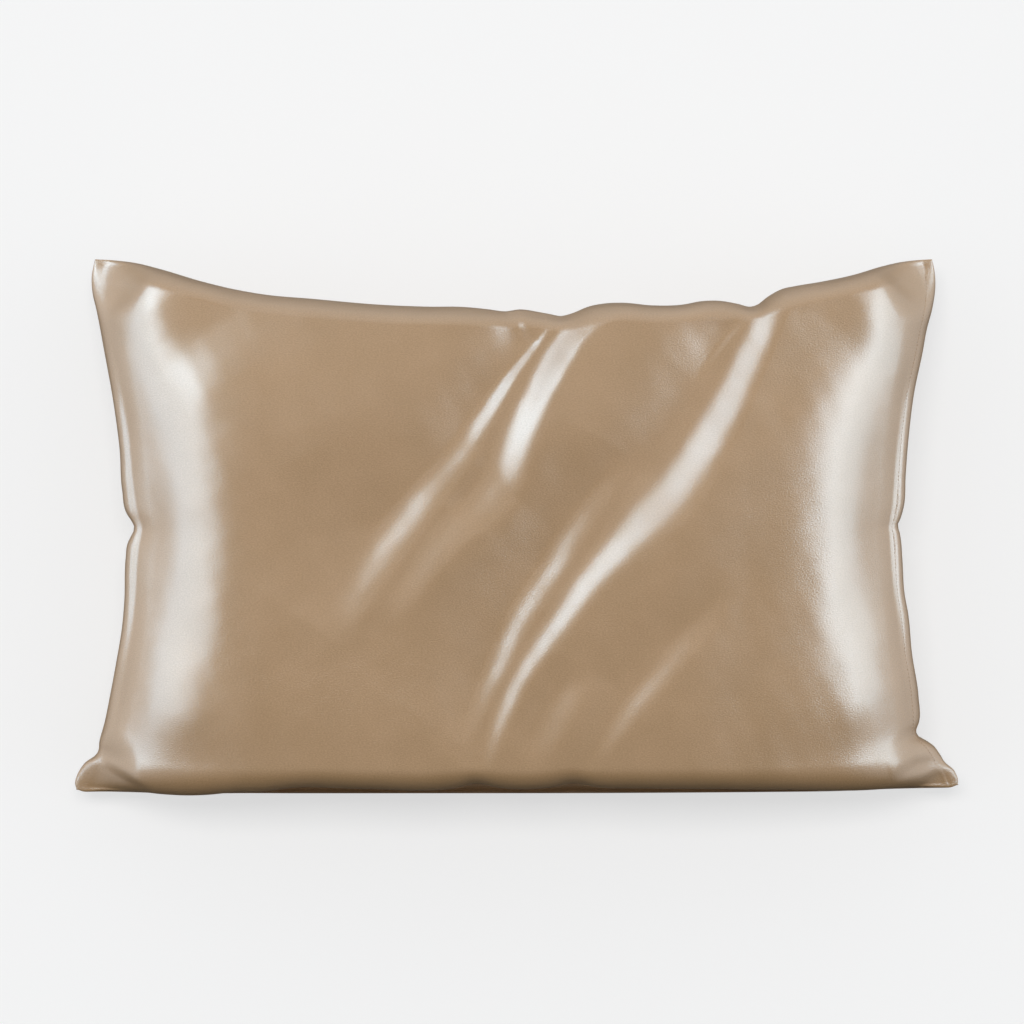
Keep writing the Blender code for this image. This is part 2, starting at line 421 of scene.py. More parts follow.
FOLDS = (
    Fold("short_upper_fold", dip=0.85, lead=0.045, run=0.020, stations=(
        Station(0.098, 0.188, 0.012, 0.000),
        Station(0.076, 0.178, 0.016, 0.004),
        Station(0.050, 0.162, 0.024, 0.012),
        Station(0.034, 0.140, 0.030, 0.015),
        Station(0.018, 0.110, 0.032, 0.014),
        Station(0.004, 0.080, 0.036, 0.014),
        Station(-0.008, 0.045, 0.040, 0.013),
        Station(-0.018, 0.018, 0.040, 0.006),
        Station(-0.026, -0.006, 0.034, 0.000),
    )),
    Fold("slit_fold", dip=0.95, lead=0.060, run=0.010, stations=(
        Station(0.034, 0.176, 0.006, 0.000),
        Station(0.018, 0.154, 0.006, 0.003),
        Station(-0.001, 0.130, 0.012, 0.006),
        Station(-0.022, 0.099, 0.020, 0.009),
        Station(-0.052, 0.053, 0.028, 0.011),
        Station(-0.082, 0.017, 0.034, 0.014),
        Station(-0.110, -0.022, 0.036, 0.013),
        Station(-0.132, -0.055, 0.032, 0.007),
        Station(-0.150, -0.094, 0.026, 0.000),
    )),
    Fold("faint_middle_fold", dip=0.60, lead=0.030, run=0.028, stations=(
        Station(-0.014, 0.036, 0.036, 0.000),
        Station(-0.034, 0.012, 0.036, 0.009),
        Station(-0.058, -0.010, 0.034, 0.009),
        Station(-0.082, -0.041, 0.028, 0.006),
        Station(-0.110, -0.080, 0.020, 0.000),
    )),
    Fold("main_fold", dip=0.85, lead=0.045, run=0.060, stations=(
        Station(0.226, 0.192, 0.020, 0.000),
        Station(0.212, 0.178, 0.028, 0.008),
        Station(0.198, 0.150, 0.034, 0.014),
        Station(0.184, 0.120, 0.036, 0.016),
        Station(0.166, 0.085, 0.042, 0.018),
        Station(0.146, 0.050, 0.046, 0.018),
        Station(0.122, 0.020, 0.050, 0.016),
        Station(0.092, -0.010, 0.038, 0.013),
        Station(0.063, -0.040, 0.032, 0.012),
        Station(0.034, -0.080, 0.028, 0.010),
        Station(0.006, -0.120, 0.022, 0.008),
        Station(-0.014, -0.160, 0.020, 0.006),
        Station(-0.030, -0.200, 0.012, 0.000),
    )),
    Fold("lower_fold", dip=0.95, lead=0.070, run=0.010, stations=(
        Station(0.092, 0.060, 0.022, 0.000),
        Station(0.066, 0.022, 0.022, 0.006),
        Station(0.048, -0.003, 0.026, 0.009),
        Station(0.030, -0.033, 0.028, 0.011),
        Station(0.000, -0.080, 0.026, 0.010),
        Station(-0.016, -0.116, 0.024, 0.008),
        Station(-0.032, -0.149, 0.018, 0.004),
        Station(-0.044, -0.176, 0.012, 0.000),
    )),
    Fold("low_right_fold", dip=0.60, lead=0.030, run=0.040, stations=(
        Station(0.180, -0.045, 0.022, 0.000),
        Station(0.160, -0.075, 0.022, 0.003),
        Station(0.141, -0.096, 0.022, 0.005),
        Station(0.112, -0.130, 0.022, 0.005),
        Station(0.084, -0.162, 0.018, 0.004),
        Station(0.058, -0.198, 0.014, 0.000),
    )),
    Fold("low_middle_fold", dip=0.50, lead=0.015, run=0.030, stations=(
        Station(0.056, -0.116, 0.020, 0.000),
        Station(0.045, -0.140, 0.024, 0.005),
        Station(0.028, -0.166, 0.026, 0.005),
        Station(0.012, -0.190, 0.022, 0.000),
    )),
    Fold("notch_crease", dip=1.00, lead=0.020, run=0.014, stations=(
        Station(0.200, 0.184, 0.008, 0.000),
        Station(0.182, 0.164, 0.008, 0.002),
        Station(0.162, 0.138, 0.008, 0.002),
        Station(0.150, 0.120, 0.006, 0.000),
    )),
    Fold("notch_crescent", dip=0.80, lead=0.014, run=0.014, stations=(
        Station(-0.002, 0.184, 0.008, 0.000),
        Station(0.002, 0.174, 0.010, 0.004),
        Station(0.007, 0.162, 0.010, 0.003),
        Station(0.014, 0.150, 0.008, 0.000),
    )),
    Fold("left_ear_fold", dip=0.90, lead=0.040, run=0.020, stations=(
        Station(-0.352, -0.194, 0.012, 0.000),
        Station(-0.341, -0.201, 0.010, 0.004),
        Station(-0.326, -0.205, 0.010, 0.008),
        Station(-0.311, -0.210, 0.010, 0.007),
        Station(-0.298, -0.218, 0.016, 0.000),
    )),
    Fold("right_ear_fold", dip=1.00, lead=0.040, run=0.030, stations=(
        Station(0.310, -0.203, 0.010, 0.000),
        Station(0.322, -0.198, 0.012, 0.004),
        Station(0.334, -0.195, 0.010, 0.004),
        Station(0.346, -0.194, 0.010, 0.003),
        Station(0.356, -0.190, 0.010, 0.000),
    )),
    Fold("right_ear_hem", dip=0.00, lead=0.006, run=0.018, stations=(
        Station(0.316, -0.219, 0.020, 0.000),
        Station(0.330, -0.215, 0.020, 0.006),
        Station(0.345, -0.211, 0.012, 0.006),
        Station(0.358, -0.207, 0.012, 0.004),
        Station(0.366, -0.205, 0.012, 0.000),
    )),
    Fold("left_corner_pleat", dip=0.50, lead=0.020, run=0.020, stations=(
        Station(-0.300, 0.214, 0.014, 0.000),
        Station(-0.312, 0.205, 0.016, 0.005),
        Station(-0.324, 0.194, 0.018, 0.007),
        Station(-0.336, 0.182, 0.016, 0.004),
        Station(-0.344, 0.172, 0.014, 0.000),
    )),
    Fold("right_corner_pleat", dip=0.50, lead=0.015, run=0.015, stations=(
        Station(0.334, 0.188, 0.010, 0.000),
        Station(0.323, 0.199, 0.012, 0.004),
        Station(0.312, 0.207, 0.012, 0.004),
        Station(0.298, 0.214, 0.010, 0.000),
    )),
)


@dataclass(frozen=True)
class Swell:
    """A soft swell of the filling under the cloth, or a hollow where its rise is negative.

    long and wide are its reaches along and across, and turn is the angle from +X to its long way, in degrees.
    """

    x: float
    y: float
    long: float
    wide: float
    turn: float
    rise: float

    def height(self, x: np.ndarray, y: np.ndarray) -> np.ndarray:
        """Height that the swell adds: rise exp(-(a/long)^2 - (b/wide)^2).

        a and b are the distances from its middle along and across its long way.

        Args:
            x: plan places along the length.
            y: plan places across the width.

        Returns:
            Heights, in the same shape.
        """
        cos, sin = math.cos(math.radians(self.turn)), math.sin(math.radians(self.turn))
        a = (x - self.x) * cos + (y - self.y) * sin
        b = (y - self.y) * cos - (x - self.x) * sin
        return self.rise * np.exp(-((a / self.long) ** 2) - (b / self.wide) ** 2)


@dataclass(frozen=True)
class Crinkle:
    """The faint unevenness of filled satin: straight waves of mixed length and direction, laid together."""

    seed: int = 11
    waves: int = 18
    shortest: float = 0.014
    longest: float = 0.060
    slope: float = 0.0065

    def height(self, x: np.ndarray, y: np.ndarray) -> np.ndarray:
        """Height that the waves add: the sum of slope length/(2 pi) sin(2 pi d/length + start) over them.

        Lengths, directions and starts are drawn from the seed, and d is the distance along a wave's way.

        Args:
            x: plan places along the length.
            y: plan places across the width.

        Returns:
            Heights, in the same shape.
        """
        draw = np.random.default_rng(self.seed)
        lengths = draw.uniform(self.shortest, self.longest, (self.waves, 1, 1))
        turns, starts = draw.uniform(0, 2 * np.pi, (2, self.waves, 1, 1))
        away = x * np.cos(turns) + y * np.sin(turns)
        return (self.slope * lengths / (2 * np.pi) * np.sin(2 * np.pi * away / lengths + starts)).sum(axis=0)


FACE_SWELLS = (
    # The drawn-in short sides: a hollow along each seam and the filling's ridge behind it.
    Swell(-0.326, 0.070, 0.120, 0.025, 100, -0.009),
    Swell(-0.326, -0.080, 0.110, 0.025, 80, -0.009),
    Swell(0.326, 0.080, 0.120, 0.026, 80, -0.010),
    Swell(0.326, -0.070, 0.110, 0.026, 100, -0.010),
    Swell(-0.255, 0.000, 0.150, 0.040, 90, 0.004),
    Swell(0.260, -0.010, 0.150, 0.040, 90, 0.004),
    # Fullness that reaches towards each corner.
    Swell(-0.300, 0.180, 0.060, 0.030, 50, 0.007),
    Swell(0.305, 0.180, 0.070, 0.030, 130, 0.008),
    Swell(-0.290, -0.150, 0.060, 0.030, 100, 0.005),
    Swell(0.290, -0.150, 0.060, 0.030, 80, 0.006),
    # The upper rim between its notches.
    Swell(0.070, 0.195, 0.080, 0.020, 0, 0.006),
    Swell(0.170, 0.200, 0.040, 0.020, 0, 0.006),
    # The belly right of the main fold.
    Swell(0.140, -0.150, 0.080, 0.050, 75, 0.006),
    Swell(0.140, 0.000, 0.100, 0.050, 70, 0.008),
    # Hollows inside the corners.
    Swell(0.240, 0.140, 0.070, 0.040, 50, -0.008),
    Swell(-0.250, 0.170, 0.050, 0.035, 0, -0.008),
    Swell(-0.265, -0.195, 0.060, 0.030, 0, -0.010),
    Swell(0.260, -0.195, 0.060, 0.030, 0, -0.010),
)


# ---- Finishes ----


def add_node(
    tree: bpy.types.NodeTree,
    kind: str,
    settings: dict[str, object] | None = None,
    inputs: dict[str | int, object] | None = None,
) -> bpy.types.Node:
    """Add one node to a tree.

    Args:
        tree: the material's tree.
        kind: the node's type name.
        settings: properties of the node by name.
        inputs: for each input, by name or place, a value, or the output that is linked to it.

    Returns:
        The node.
    """
    node = tree.nodes.new(kind)
    for name, value in (settings or {}).items():
        setattr(node, name, value)
    for name, value in (inputs or {}).items():
        if isinstance(value, bpy.types.NodeSocket):
            tree.links.new(value, node.inputs[name])
        else:
            node.inputs[name].default_value = value
    return node


@dataclass(frozen=True)
class Satin:
    """Champagne charmeuse: long silky floats that mirror the lamps softly, over a warm brown ground."""

    colour: str = "b99570"
    shade: str = "98774f"
    roughness: float = 0.31
    ior: float = 1.55
    specular: float = 0.9
    mottle: float = 0.045
    grain: float = 0.0010
    relief: float = 0.00018
    name: str = "champagne_satin"

    def material(self) -> bpy.types.Material:
        """Build the satin's material.

        Patterns read the cloth's own map, in metres. The real floats are about 0.15 mm wide, too fine for the
        picture, so the grain that they make is drawn at the size of self.grain.

        Returns:
            The material.
        """
        material = bpy.data.materials.new(self.name)
        material.use_nodes = True
        tree = material.node_tree
        shader = tree.nodes["Principled BSDF"]
        shader.inputs["Roughness"].default_value = self.roughness
        shader.inputs["IOR"].default_value = self.ior
        shader.inputs["Specular IOR Level"].default_value = self.specular
        place = add_node(tree, "ShaderNodeUVMap", {"uv_map": CLOTH_MAP}).outputs["UV"]
        # Clouds of the size mottle: the slight unevenness of the dye and of the floats' lie.
        cloud = {"Vector": place, "Scale": 1 / self.mottle, "Detail": 3.0, "Roughness": 0.5}
        cloud_out = add_node(tree, "ShaderNodeTexNoise", inputs=cloud).outputs["Fac"]
        # Grain: a fine speckle, a little longer along the floats, that makes the highlights glitter.
        drawn = {"Vector": place, "Scale": (0.6, 1.0, 1.0)}
        along = add_node(tree, "ShaderNodeMapping", inputs=drawn).outputs[0]
        speckle = {"Vector": along, "Scale": 1 / self.grain, "Detail": 1.0, "Roughness": 0.6}
        speckle_out = add_node(tree, "ShaderNodeTexNoise", inputs=speckle).outputs["Fac"]
        bump = add_node(tree, "ShaderNodeBump", inputs={"Height": speckle_out, "Distance": self.relief})
        tree.links.new(bump.outputs["Normal"], shader.inputs["Normal"])
        # Tone: mostly the grain, sharpened, and a share of the clouds, between the two browns.
        sharp = {"Value": speckle_out, "From Min": 0.3, "From Max": 0.7, "To Max": 0.5}
        grain_out = add_node(tree, "ShaderNodeMapRange", inputs=sharp).outputs["Result"]
        blend = {0: cloud_out, 1: 0.5, 2: grain_out}
        blend_out = add_node(tree, "ShaderNodeMath", {"operation": "MULTIPLY_ADD"}, blend).outputs[0]
        tone = {0: blend_out, 6: linear(self.shade), 7: linear(self.colour)}
        tint = add_node(tree, "ShaderNodeMix", {"data_type": "RGBA"}, tone)
        tree.links.new(tint.outputs[2], shader.inputs["Base Color"])
        return material


@dataclass(frozen=True)
class Thread:
    """Sewing thread in the satin's own brown, a little darker and duller, so that a seam is a fine line."""

    colour: str = "97744f"
    roughness: float = 0.55
    strand: float = 0.0004
    relief: float = 0.00005
    name: str = "brown_thread"

    def material(self) -> bpy.types.Material:
        """Build the thread's material: brown, with fine bands across for its twisted strands.

        Returns:
            The material.
        """
        material = bpy.data.materials.new(self.name)
        material.use_nodes = True
        tree = material.node_tree
        shader = tree.nodes["Principled BSDF"]
        shader.inputs["Base Color"].default_value = linear(self.colour)
        shader.inputs["Roughness"].default_value = self.roughness
        place = add_node(tree, "ShaderNodeTexCoord").outputs["Object"]
        twist = {"Vector": place, "Scale": 1 / self.strand}
        bands = add_node(tree, "ShaderNodeTexWave", {"bands_direction": "DIAGONAL"}, twist).outputs["Fac"]
        bump = add_node(tree, "ShaderNodeBump", inputs={"Height": bands, "Distance": self.relief})
        tree.links.new(bump.outputs["Normal"], shader.inputs["Normal"])
        return material


@dataclass(frozen=True)
class PaleFloor:
    """A lit white sweep: it glows evenly, so only soft shadows show on it."""

    glow: float = 0.575
    colour: str = "a2a09e"
    name: str = "pale_floor"

    def material(self) -> bpy.types.Material:
        """Build the floor's material.

        Returns:
            The material.
        """
        material = bpy.data.materials.new(self.name)
        material.use_nodes = True
        shader = material.node_tree.nodes["Principled BSDF"]
        shader.inputs["Base Color"].default_value = linear(self.colour)
        shader.inputs["Roughness"].default_value = 1.0
        shader.inputs["Specular IOR Level"].default_value = 0.0
        shader.inputs["Emission Color"].default_value = (1.0, 1.0, 1.0, 1.0)
        shader.inputs["Emission Strength"].default_value = self.glow
        return material


# ---- The pillowcase ----

UPRIGHT = (0.0, 0.0, 1.0)

class Panel(Enum):
    """The two sides of the case."""

    FACE = "face"
    BACK = "back"


@dataclass(frozen=True)
class Shoulder:
    """The way the cloth rises from one side: a quick roll over the edge, then a long slow rise."""

    reach: float
    roll: float
    roll_reach: float

    def rise(self, gap: np.ndarray) -> np.ndarray:
        """The rise at a distance in from the side, from 0 at the seam to 1 past the reach.

        It is a blend, with the share roll for the first, of a quarter round sqrt(1 - (1 - gap/roll_reach)^2)
        and a parabola 1 - (1 - gap/reach)^2.

        Args:
            gap: distances in from the side.

        Returns:
            The rise at each distance.
        """
        quick = np.sqrt(1 - (1 - np.clip(gap / self.roll_reach, 0, 1)) ** 2)
        slow = 1 - (1 - np.clip(gap / self.reach, 0, 1)) ** 2
        return self.roll * quick + (1 - self.roll) * slow


@dataclass
class Pillowcase:
    """The filled case: a face and a back panel on one plan, joined by the narrow strip of the seam."""

    seam_height: float = 0.068
    corner_drop: float = 0.026
    drop_reach: float = 0.150
    seam_thickness: float = 0.0024
    crown: float = 0.080
    dome: float = 0.004
    ends: Shoulder = Shoulder(reach=0.150, roll=0.32, roll_reach=0.027)
    upper: Shoulder = Shoulder(reach=0.150, roll=0.68, roll_reach=0.020)
    lower: Shoulder = Shoulder(reach=0.080, roll=0.92, roll_reach=0.032)
    beneath: Shoulder = Shoulder(reach=0.118, roll=0.0, roll_reach=0.118)
    top_left: tuple[float, float] = (0.0155, 0.0019)
    top_right: tuple[float, float] = (-0.0205, 0.0019)
    bottom_left: tuple[float, float] = (-0.0025, -0.0009)
    bottom_right: tuple[float, float] = (0.0040, 0.0031)
    ear_reach: float = 0.058
    ear_fullness: float = 0.12
    lip: float = 0.006
    groove: float = 0.010
    groove_wall: float = 0.0015
    groove_reach: float = 0.014
    tuck_drop: float = 0.016
    tuck_fade: float = 0.25
    tuck_ends: float = 0.14
    lean: float = 0.013
    lean_reach: float = 0.017
    side_shift: float = 0.0035
    side_reach: float = 0.030
    side_start: float = 0.012
    blunt: float = 0.0022
    blunt_reach: float = 0.006
    fold_clear: float = 0.005
    end_clear: float = 0.014
    back_cells: tuple[int, int] = (180, 108)
    crowding: float = 0.45
    hem: float = 0.0085
    hem_depth: float = 0.0005
    hem_width: float = 0.0013
    hem_span: tuple[float, float] = (0.050, 0.975)
    hem_samples: int = 900
    crinkle: Crinkle = Crinkle()
    finish: Satin = field(default_factory=Satin)

    def __post_init__(self) -> None:
        """Set the four edges: each corner tip is this far from its corner of the frame's box."""
        low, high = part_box(NODE)
        top_left = (low[0] + self.top_left[0], high[1] + self.top_left[1])
        top_right = (high[0] + self.top_right[0], high[1] + self.top_right[1])
        bottom_left = (low[0] + self.bottom_left[0], low[1] + self.bottom_left[1])
        bottom_right = (high[0] + self.bottom_right[0], low[1] + self.bottom_right[1])
        self.top = Edge(top_left, top_right, (0.0, -1.0), TOP_EDGE)
        self.bottom = Edge(bottom_left, bottom_right, (0.0, 1.0), BOTTOM_EDGE)
        self.left = Edge(bottom_left, top_left, (1.0, 0.0), LEFT_EDGE)
        self.right = Edge(bottom_right, top_right, (-1.0, 0.0), RIGHT_EDGE)

    @property
    def length(self) -> float:
        """The lower edge's length along +X, between its corner tips."""
        return self.bottom.end[0] - self.bottom.start[0]

    @property
    def width(self) -> float:
        """The distance along +Y between the lower and upper corner tips."""
        return self.top.start[1] - self.bottom.start[1]

    def plan(self, u: np.ndarray, v: np.ndarray) -> np.ndarray:
        """Plan points of a patch stretched between the four edges.

        It is the blend of bottom and top by v, plus the blend of left and right by u, less the flat patch on
        the four corners.

        Args:
            u: shares of the way along the length, one row of the grid.
            v: shares of the way across the width, one column of the grid.

        Returns:
            Points as an array of rows, columns and x, y.
        """
        bottom, top = self.bottom.points(u)[None, :, :], self.top.points(u)[None, :, :]
        left, right = self.left.points(v)[:, None, :], self.right.points(v)[:, None, :]
        a, b = u[None, :, None], v[:, None, None]
        flat = (1 - a) * (1 - b) * np.array(self.bottom.start) + a * (1 - b) * np.array(self.bottom.end)
        flat = flat + (1 - a) * b * np.array(self.top.start) + a * b * np.array(self.top.end)
        patch = (1 - b) * bottom + b * top + (1 - a) * left + a * right - flat
        patch = patch + self.bottom.nicks(u, v * self.width) + self.top.nicks(u, (1 - v) * self.width)
        sides = self.left.nicks(v, u * self.length) + self.right.nicks(v, (1 - u) * self.length)
        return patch + sides.transpose(1, 0, 2)

    def from_seams(self, u: np.ndarray, v: np.ndarray) -> tuple[np.ndarray, np.ndarray]:
        """Distances from the nearer short side and from the nearer long side.

        Args:
            u: shares along the length, in grid form.
            v: shares across the width, in grid form.

        Returns:
            The two distances.
        """
        return np.minimum(u, 1 - u) * self.length, np.minimum(v, 1 - v) * self.width

    def fullness(self, u: np.ndarray, v: np.ndarray, panel: Panel) -> np.ndarray:
        """How full the pillow is, from 0 at the seam to 1 inside its shoulders.

        The product of the rise from each side, held down in the corners.

        Args:
            u: shares along the length, in grid form.
            v: shares across the width, in grid form.
            panel: which side of the case.

        Returns:
            The fullness of each point.
        """
        ends, sides = self.from_seams(u, v)
        corner = smooth_step(np.hypot(ends, sides) / self.ear_reach)
        flattened = self.ear_fullness + (1 - self.ear_fullness) * corner
        if panel is Panel.BACK:
            return self.beneath.rise(ends) * self.beneath.rise(sides) * flattened
        below, above = self.lower.rise(self.past_lip(u, v)), self.upper.rise((1 - v) * self.width)
        return self.ends.rise(ends) * below * above * flattened

    def tuck_share(self, u: np.ndarray) -> np.ndarray:
        """How much of the tuck the lower edge has: all along the middle and none at its ends."""
        return smooth_step(u / self.tuck_ends) * smooth_step((1 - u) / self.tuck_ends)

    def past_lip(self, u: np.ndarray, v: np.ndarray) -> np.ndarray:
        """Distances from the inner side of the lip along the lower edge, and 0 on the lip."""
        return np.maximum(v * self.width - self.lip * self.tuck_share(u), 0.0)

    def groove_depth(self, u: np.ndarray, v: np.ndarray) -> np.ndarray:
        """Depth of the groove between the lower seam and the full side over it, which shows as a dark line.

        It drops within groove_wall of the seam, stays over the lip, and fades inwards as a bell curve.

        Args:
            u: shares along the length, in grid form.
            v: shares across the width, in grid form.

        Returns:
            The depth at each point.
        """
        wall = smooth_step(v * self.width / self.groove_wall)
        fade = np.exp(-((self.past_lip(u, v) / self.groove_reach) ** 2))
        return self.groove * self.tuck_share(u) * wall * fade

    def hang(self, u: np.ndarray, v: np.ndarray) -> np.ndarray:
        """How far the full lower side is moved out over the lip, towards -Y.

        It leans out by lean t exp(1 - t), where t is the distance past the lip over lean_reach, and is drawn
        back by LOWER_SIDE's inset less side_shift, fading inwards as a bell curve of the width side_reach.

        Args:
            u: shares along the length, in grid form.
            v: shares across the width, in grid form.

        Returns:
            The move of each point.
        """
        past = self.past_lip(u, v)
        reach = past / self.lean_reach
        tuck = self.tuck_share(u)
        behind = read_inset(LOWER_SIDE, u) - self.side_shift * tuck
        held = smooth_step(v / self.side_start) * np.exp(-((past / self.side_reach) ** 2))
        return tuck * (self.lean * reach * np.exp(1 - reach)) - behind * held

    def seam_level(self, u: np.ndarray, v: np.ndarray) -> np.ndarray:
        """Height of the sheet between the panels.

        Args:
            u: shares along the length, in grid form.
            v: shares across the width, in grid form.

        Returns:
            The seam's height, lower towards the corners and where the lower edge is tucked in.
        """
        ends, sides = self.from_seams(u, v)
        to_corner = smooth_step(1 - np.hypot(ends, sides) / self.drop_reach)
        tucked = self.tuck_drop * self.tuck_share(u) * smooth_step(1 - v / self.tuck_fade)
        return self.seam_height - self.corner_drop * to_corner - tucked

    def panel_points(self, panel: Panel, u: np.ndarray, v: np.ndarray) -> np.ndarray:
        """Points of one panel.

        The lower corner tips are drawn in by blunt, so that they are not sharp. Folds, swells and the crinkle
        fade to nothing at the seams.

        Args:
            panel: which side of the case.
            u: shares of the way along the length, one row of the grid.
            v: shares of the way across the width, one column of the grid.

        Returns:
            Points as an array of rows, columns and x, y, z.
        """
        flat = self.plan(u, v)
        uu, vv = np.meshgrid(u, v)
        level = self.seam_level(uu, vv)
        ends, sides = self.from_seams(uu, vv)
        pulled = self.blunt * np.exp(-((np.hypot(ends, sides) / self.blunt_reach) ** 2)) * (vv < 0.5)
        x, y = flat[:, :, 0] + pulled * np.sign(0.5 - uu), flat[:, :, 1] + pulled
        if panel is Panel.FACE:
            low = level + self.seam_thickness / 2
            height = low + (self.seam_height + self.crown - low) * self.fullness(uu, vv, panel)
            height += self.dome * (np.sin(np.pi * uu) * np.sin(np.pi * vv)) ** 2
            height -= self.groove_depth(uu, vv)
            sides = np.minimum(self.past_lip(uu, vv), sides)
            inside = smooth_step(ends / self.end_clear) * smooth_step(sides / self.fold_clear)
            for shape in (*FOLDS, *FACE_SWELLS, self.crinkle):
                height += shape.height(x, y) * inside
            off_hem = (1 - uu) * self.length - self.hem
            height -= self.hem_depth * np.exp(-((off_hem / self.hem_width) ** 2)) * inside
            y = y - self.hang(uu, vv)
        else:
            fall = 1 - self.fullness(uu, vv, panel)
            height = (level - self.seam_thickness / 2) * fall - self.groove_depth(uu, vv)
        return np.stack([x, y, height], axis=-1)

    def hem_line(self) -> np.ndarray:
        """Points along the hem's stitch line on the face, at its right end, over the shares hem_span."""
        line = np.array([1 - self.hem / self.length])
        return self.panel_points(Panel.FACE, line, np.linspace(*self.hem_span, self.hem_samples))[:, 0]

    def build(self) -> bpy.types.Object:
        """Build the closed mesh of both panels and the seam strip.

        Returns:
            The piece.
        """
        fine_u, fine_v = (crowded(2 * cells + 1, self.crowding) for cells in self.back_cells)
        face = self.panel_points(Panel.FACE, fine_u, fine_v)
        back = self.panel_points(Panel.BACK, fine_u[::2], fine_v[::2])
        points = np.concatenate([face.reshape(-1, 3), back.reshape(-1, 3)])
        face_index = np.arange(face[..., 0].size).reshape(face.shape[:2])
        back_index = face_index.size + np.arange(back[..., 0].size).reshape(back.shape[:2])
        quads = np.concatenate([grid_quads(face_index), grid_quads(back_index)[:, ::-1]])
        strip = rim_triangles(rim_of(face_index), rim_of(back_index))
        cloth = np.concatenate([laid_flat(face), laid_flat(back)])
        return new_piece("satin_case", points, quads, strip, cloth)


@dataclass
class Stitches:
    """A row of machine stitches along a line: short capsules of thread, half sunk in the cloth."""

    pitch: float = 0.0031
    length: float = 0.0024
    thickness: float = 0.0005
    sides: int = 6
    ring_places: tuple[float, ...] = (-0.7, 0.0, 0.7)
    ring_girths: tuple[float, ...] = (0.8, 1.0, 0.8)
    finish: Thread = field(default_factory=Thread)

    def build(self, line: np.ndarray) -> bpy.types.Object:
        """Build all stitches as one mesh.

        Each capsule has a pole at each end and rings between, at the shares ring_places of half its length,
        with radii in the shares ring_girths of half its thickness. It lies along the line's own direction.

        Args:
            line: points along the stitch line, on the cloth.

        Returns:
            The piece.
        """
        run = np.concatenate([[0], np.cumsum(np.linalg.norm(np.diff(line, axis=0), axis=1))])
        middles = np.arange(self.pitch, run[-1] - self.pitch, self.pitch)
        centre = np.stack([np.interp(middles, run, line[:, i]) for i in range(3)], axis=1)
        ahead = np.stack([np.interp(middles + self.length / 2, run, line[:, i]) for i in range(3)], axis=1)
        along = (ahead - centre) / np.linalg.norm(ahead - centre, axis=1, keepdims=True)
        aside = np.cross(along, UPRIGHT)
        aside /= np.linalg.norm(aside, axis=1, keepdims=True)
        outward = np.cross(aside, along)
        angle = 2 * np.pi * np.arange(self.sides) / self.sides
        cos, sin = np.cos(angle)[None, :, None], np.sin(angle)[None, :, None]
        across = cos * aside[:, None] + sin * outward[:, None]
        places, girths = np.array(self.ring_places), np.array(self.ring_girths)
        rings = centre[:, None, None] + self.length / 2 * places[None, :, None, None] * along[:, None, None]
        rings = rings + self.thickness / 2 * girths[None, :, None, None] * across[:, None]
        poles = centre[:, None] + self.length / 2 * np.array([-1.0, 1.0])[None, :, None] * along[:, None]
        points = np.concatenate([rings.reshape(len(middles), -1, 3), poles], axis=1)
        ring = np.arange(len(places) * self.sides).reshape(len(places), self.sides)
        after = np.roll(ring, -1, axis=1)
        quads = np.stack([ring[:-1], ring[1:], after[1:], after[:-1]], axis=-1).reshape(-1, 4)
        first, last = np.full(self.sides, ring.size), np.full(self.sides, ring.size + 1)
        start_fan = np.stack([first, ring[0], after[0]], axis=1)
        end_fan = np.stack([last, after[-1], ring[-1]], axis=1)
        fans = np.concatenate([start_fan, end_fan])
        offsets = (np.arange(len(middles)) * (ring.size + 2))[:, None, None]
        quads, fans = (quads + offsets).reshape(-1, 4), (fans + offsets).reshape(-1, 3)
        return new_piece("hem_stitches", points.reshape(-1, 3), quads, fans)


def laid_flat(points: np.ndarray) -> np.ndarray:
    """Places on the flat cloth, so that its pattern is even on steep sides too.

    A point's first place is the distance to it along its row from the middle column, and its second the
    distance along its column from the middle row.

    Args:
        points: a grid of points, as an array of rows, columns and x, y, z.

    Returns:
        One pair of places for each point, row by row.
    """
    along = np.cumsum(np.linalg.norm(np.diff(points, axis=1, prepend=points[:, :1]), axis=-1), axis=1)
    across = np.cumsum(np.linalg.norm(np.diff(points, axis=0, prepend=points[:1]), axis=-1), axis=0)
    middle_row, middle_column = points.shape[0] // 2, points.shape[1] // 2
    along -= along[:, middle_column, None]
    across -= across[middle_row]
    return np.stack([along, across], axis=-1).reshape(-1, 2)


def grid_quads(index: np.ndarray) -> np.ndarray:
    """Quads of a grid of vertex numbers, facing up when its columns run along +X and its rows along +Y."""
    quads = [index[:-1, :-1], index[:-1, 1:], index[1:, 1:], index[1:, :-1]]
    return np.stack(quads, axis=-1).reshape(-1, 4)


def rim_of(index: np.ndarray) -> np.ndarray:
    """Vertex numbers round a grid's border, counter-clockwise from its first corner."""
    return np.concatenate([index[0, :-1], index[:-1, -1], index[-1, :0:-1], index[:0:-1, 0]])


def rim_triangles(fine: np.ndarray, coarse: np.ndarray) -> np.ndarray:
    """Triangles of the strip between the face's border and the back's, which has half as many points.

    Args:
        fine: the face's border.
        coarse: the back's border.

    Returns:
        Three triangles for each pair of coarse neighbours, facing outwards.
    """
    a, b, c = fine[0::2], fine[1::2], np.roll(fine, -2)[0::2]
    low, low_next = coarse, np.roll(coarse, -1)
    rows = ([a, low, b], [low, low_next, b], [low_next, c, b])
    return np.concatenate([np.stack(row, axis=1) for row in rows])


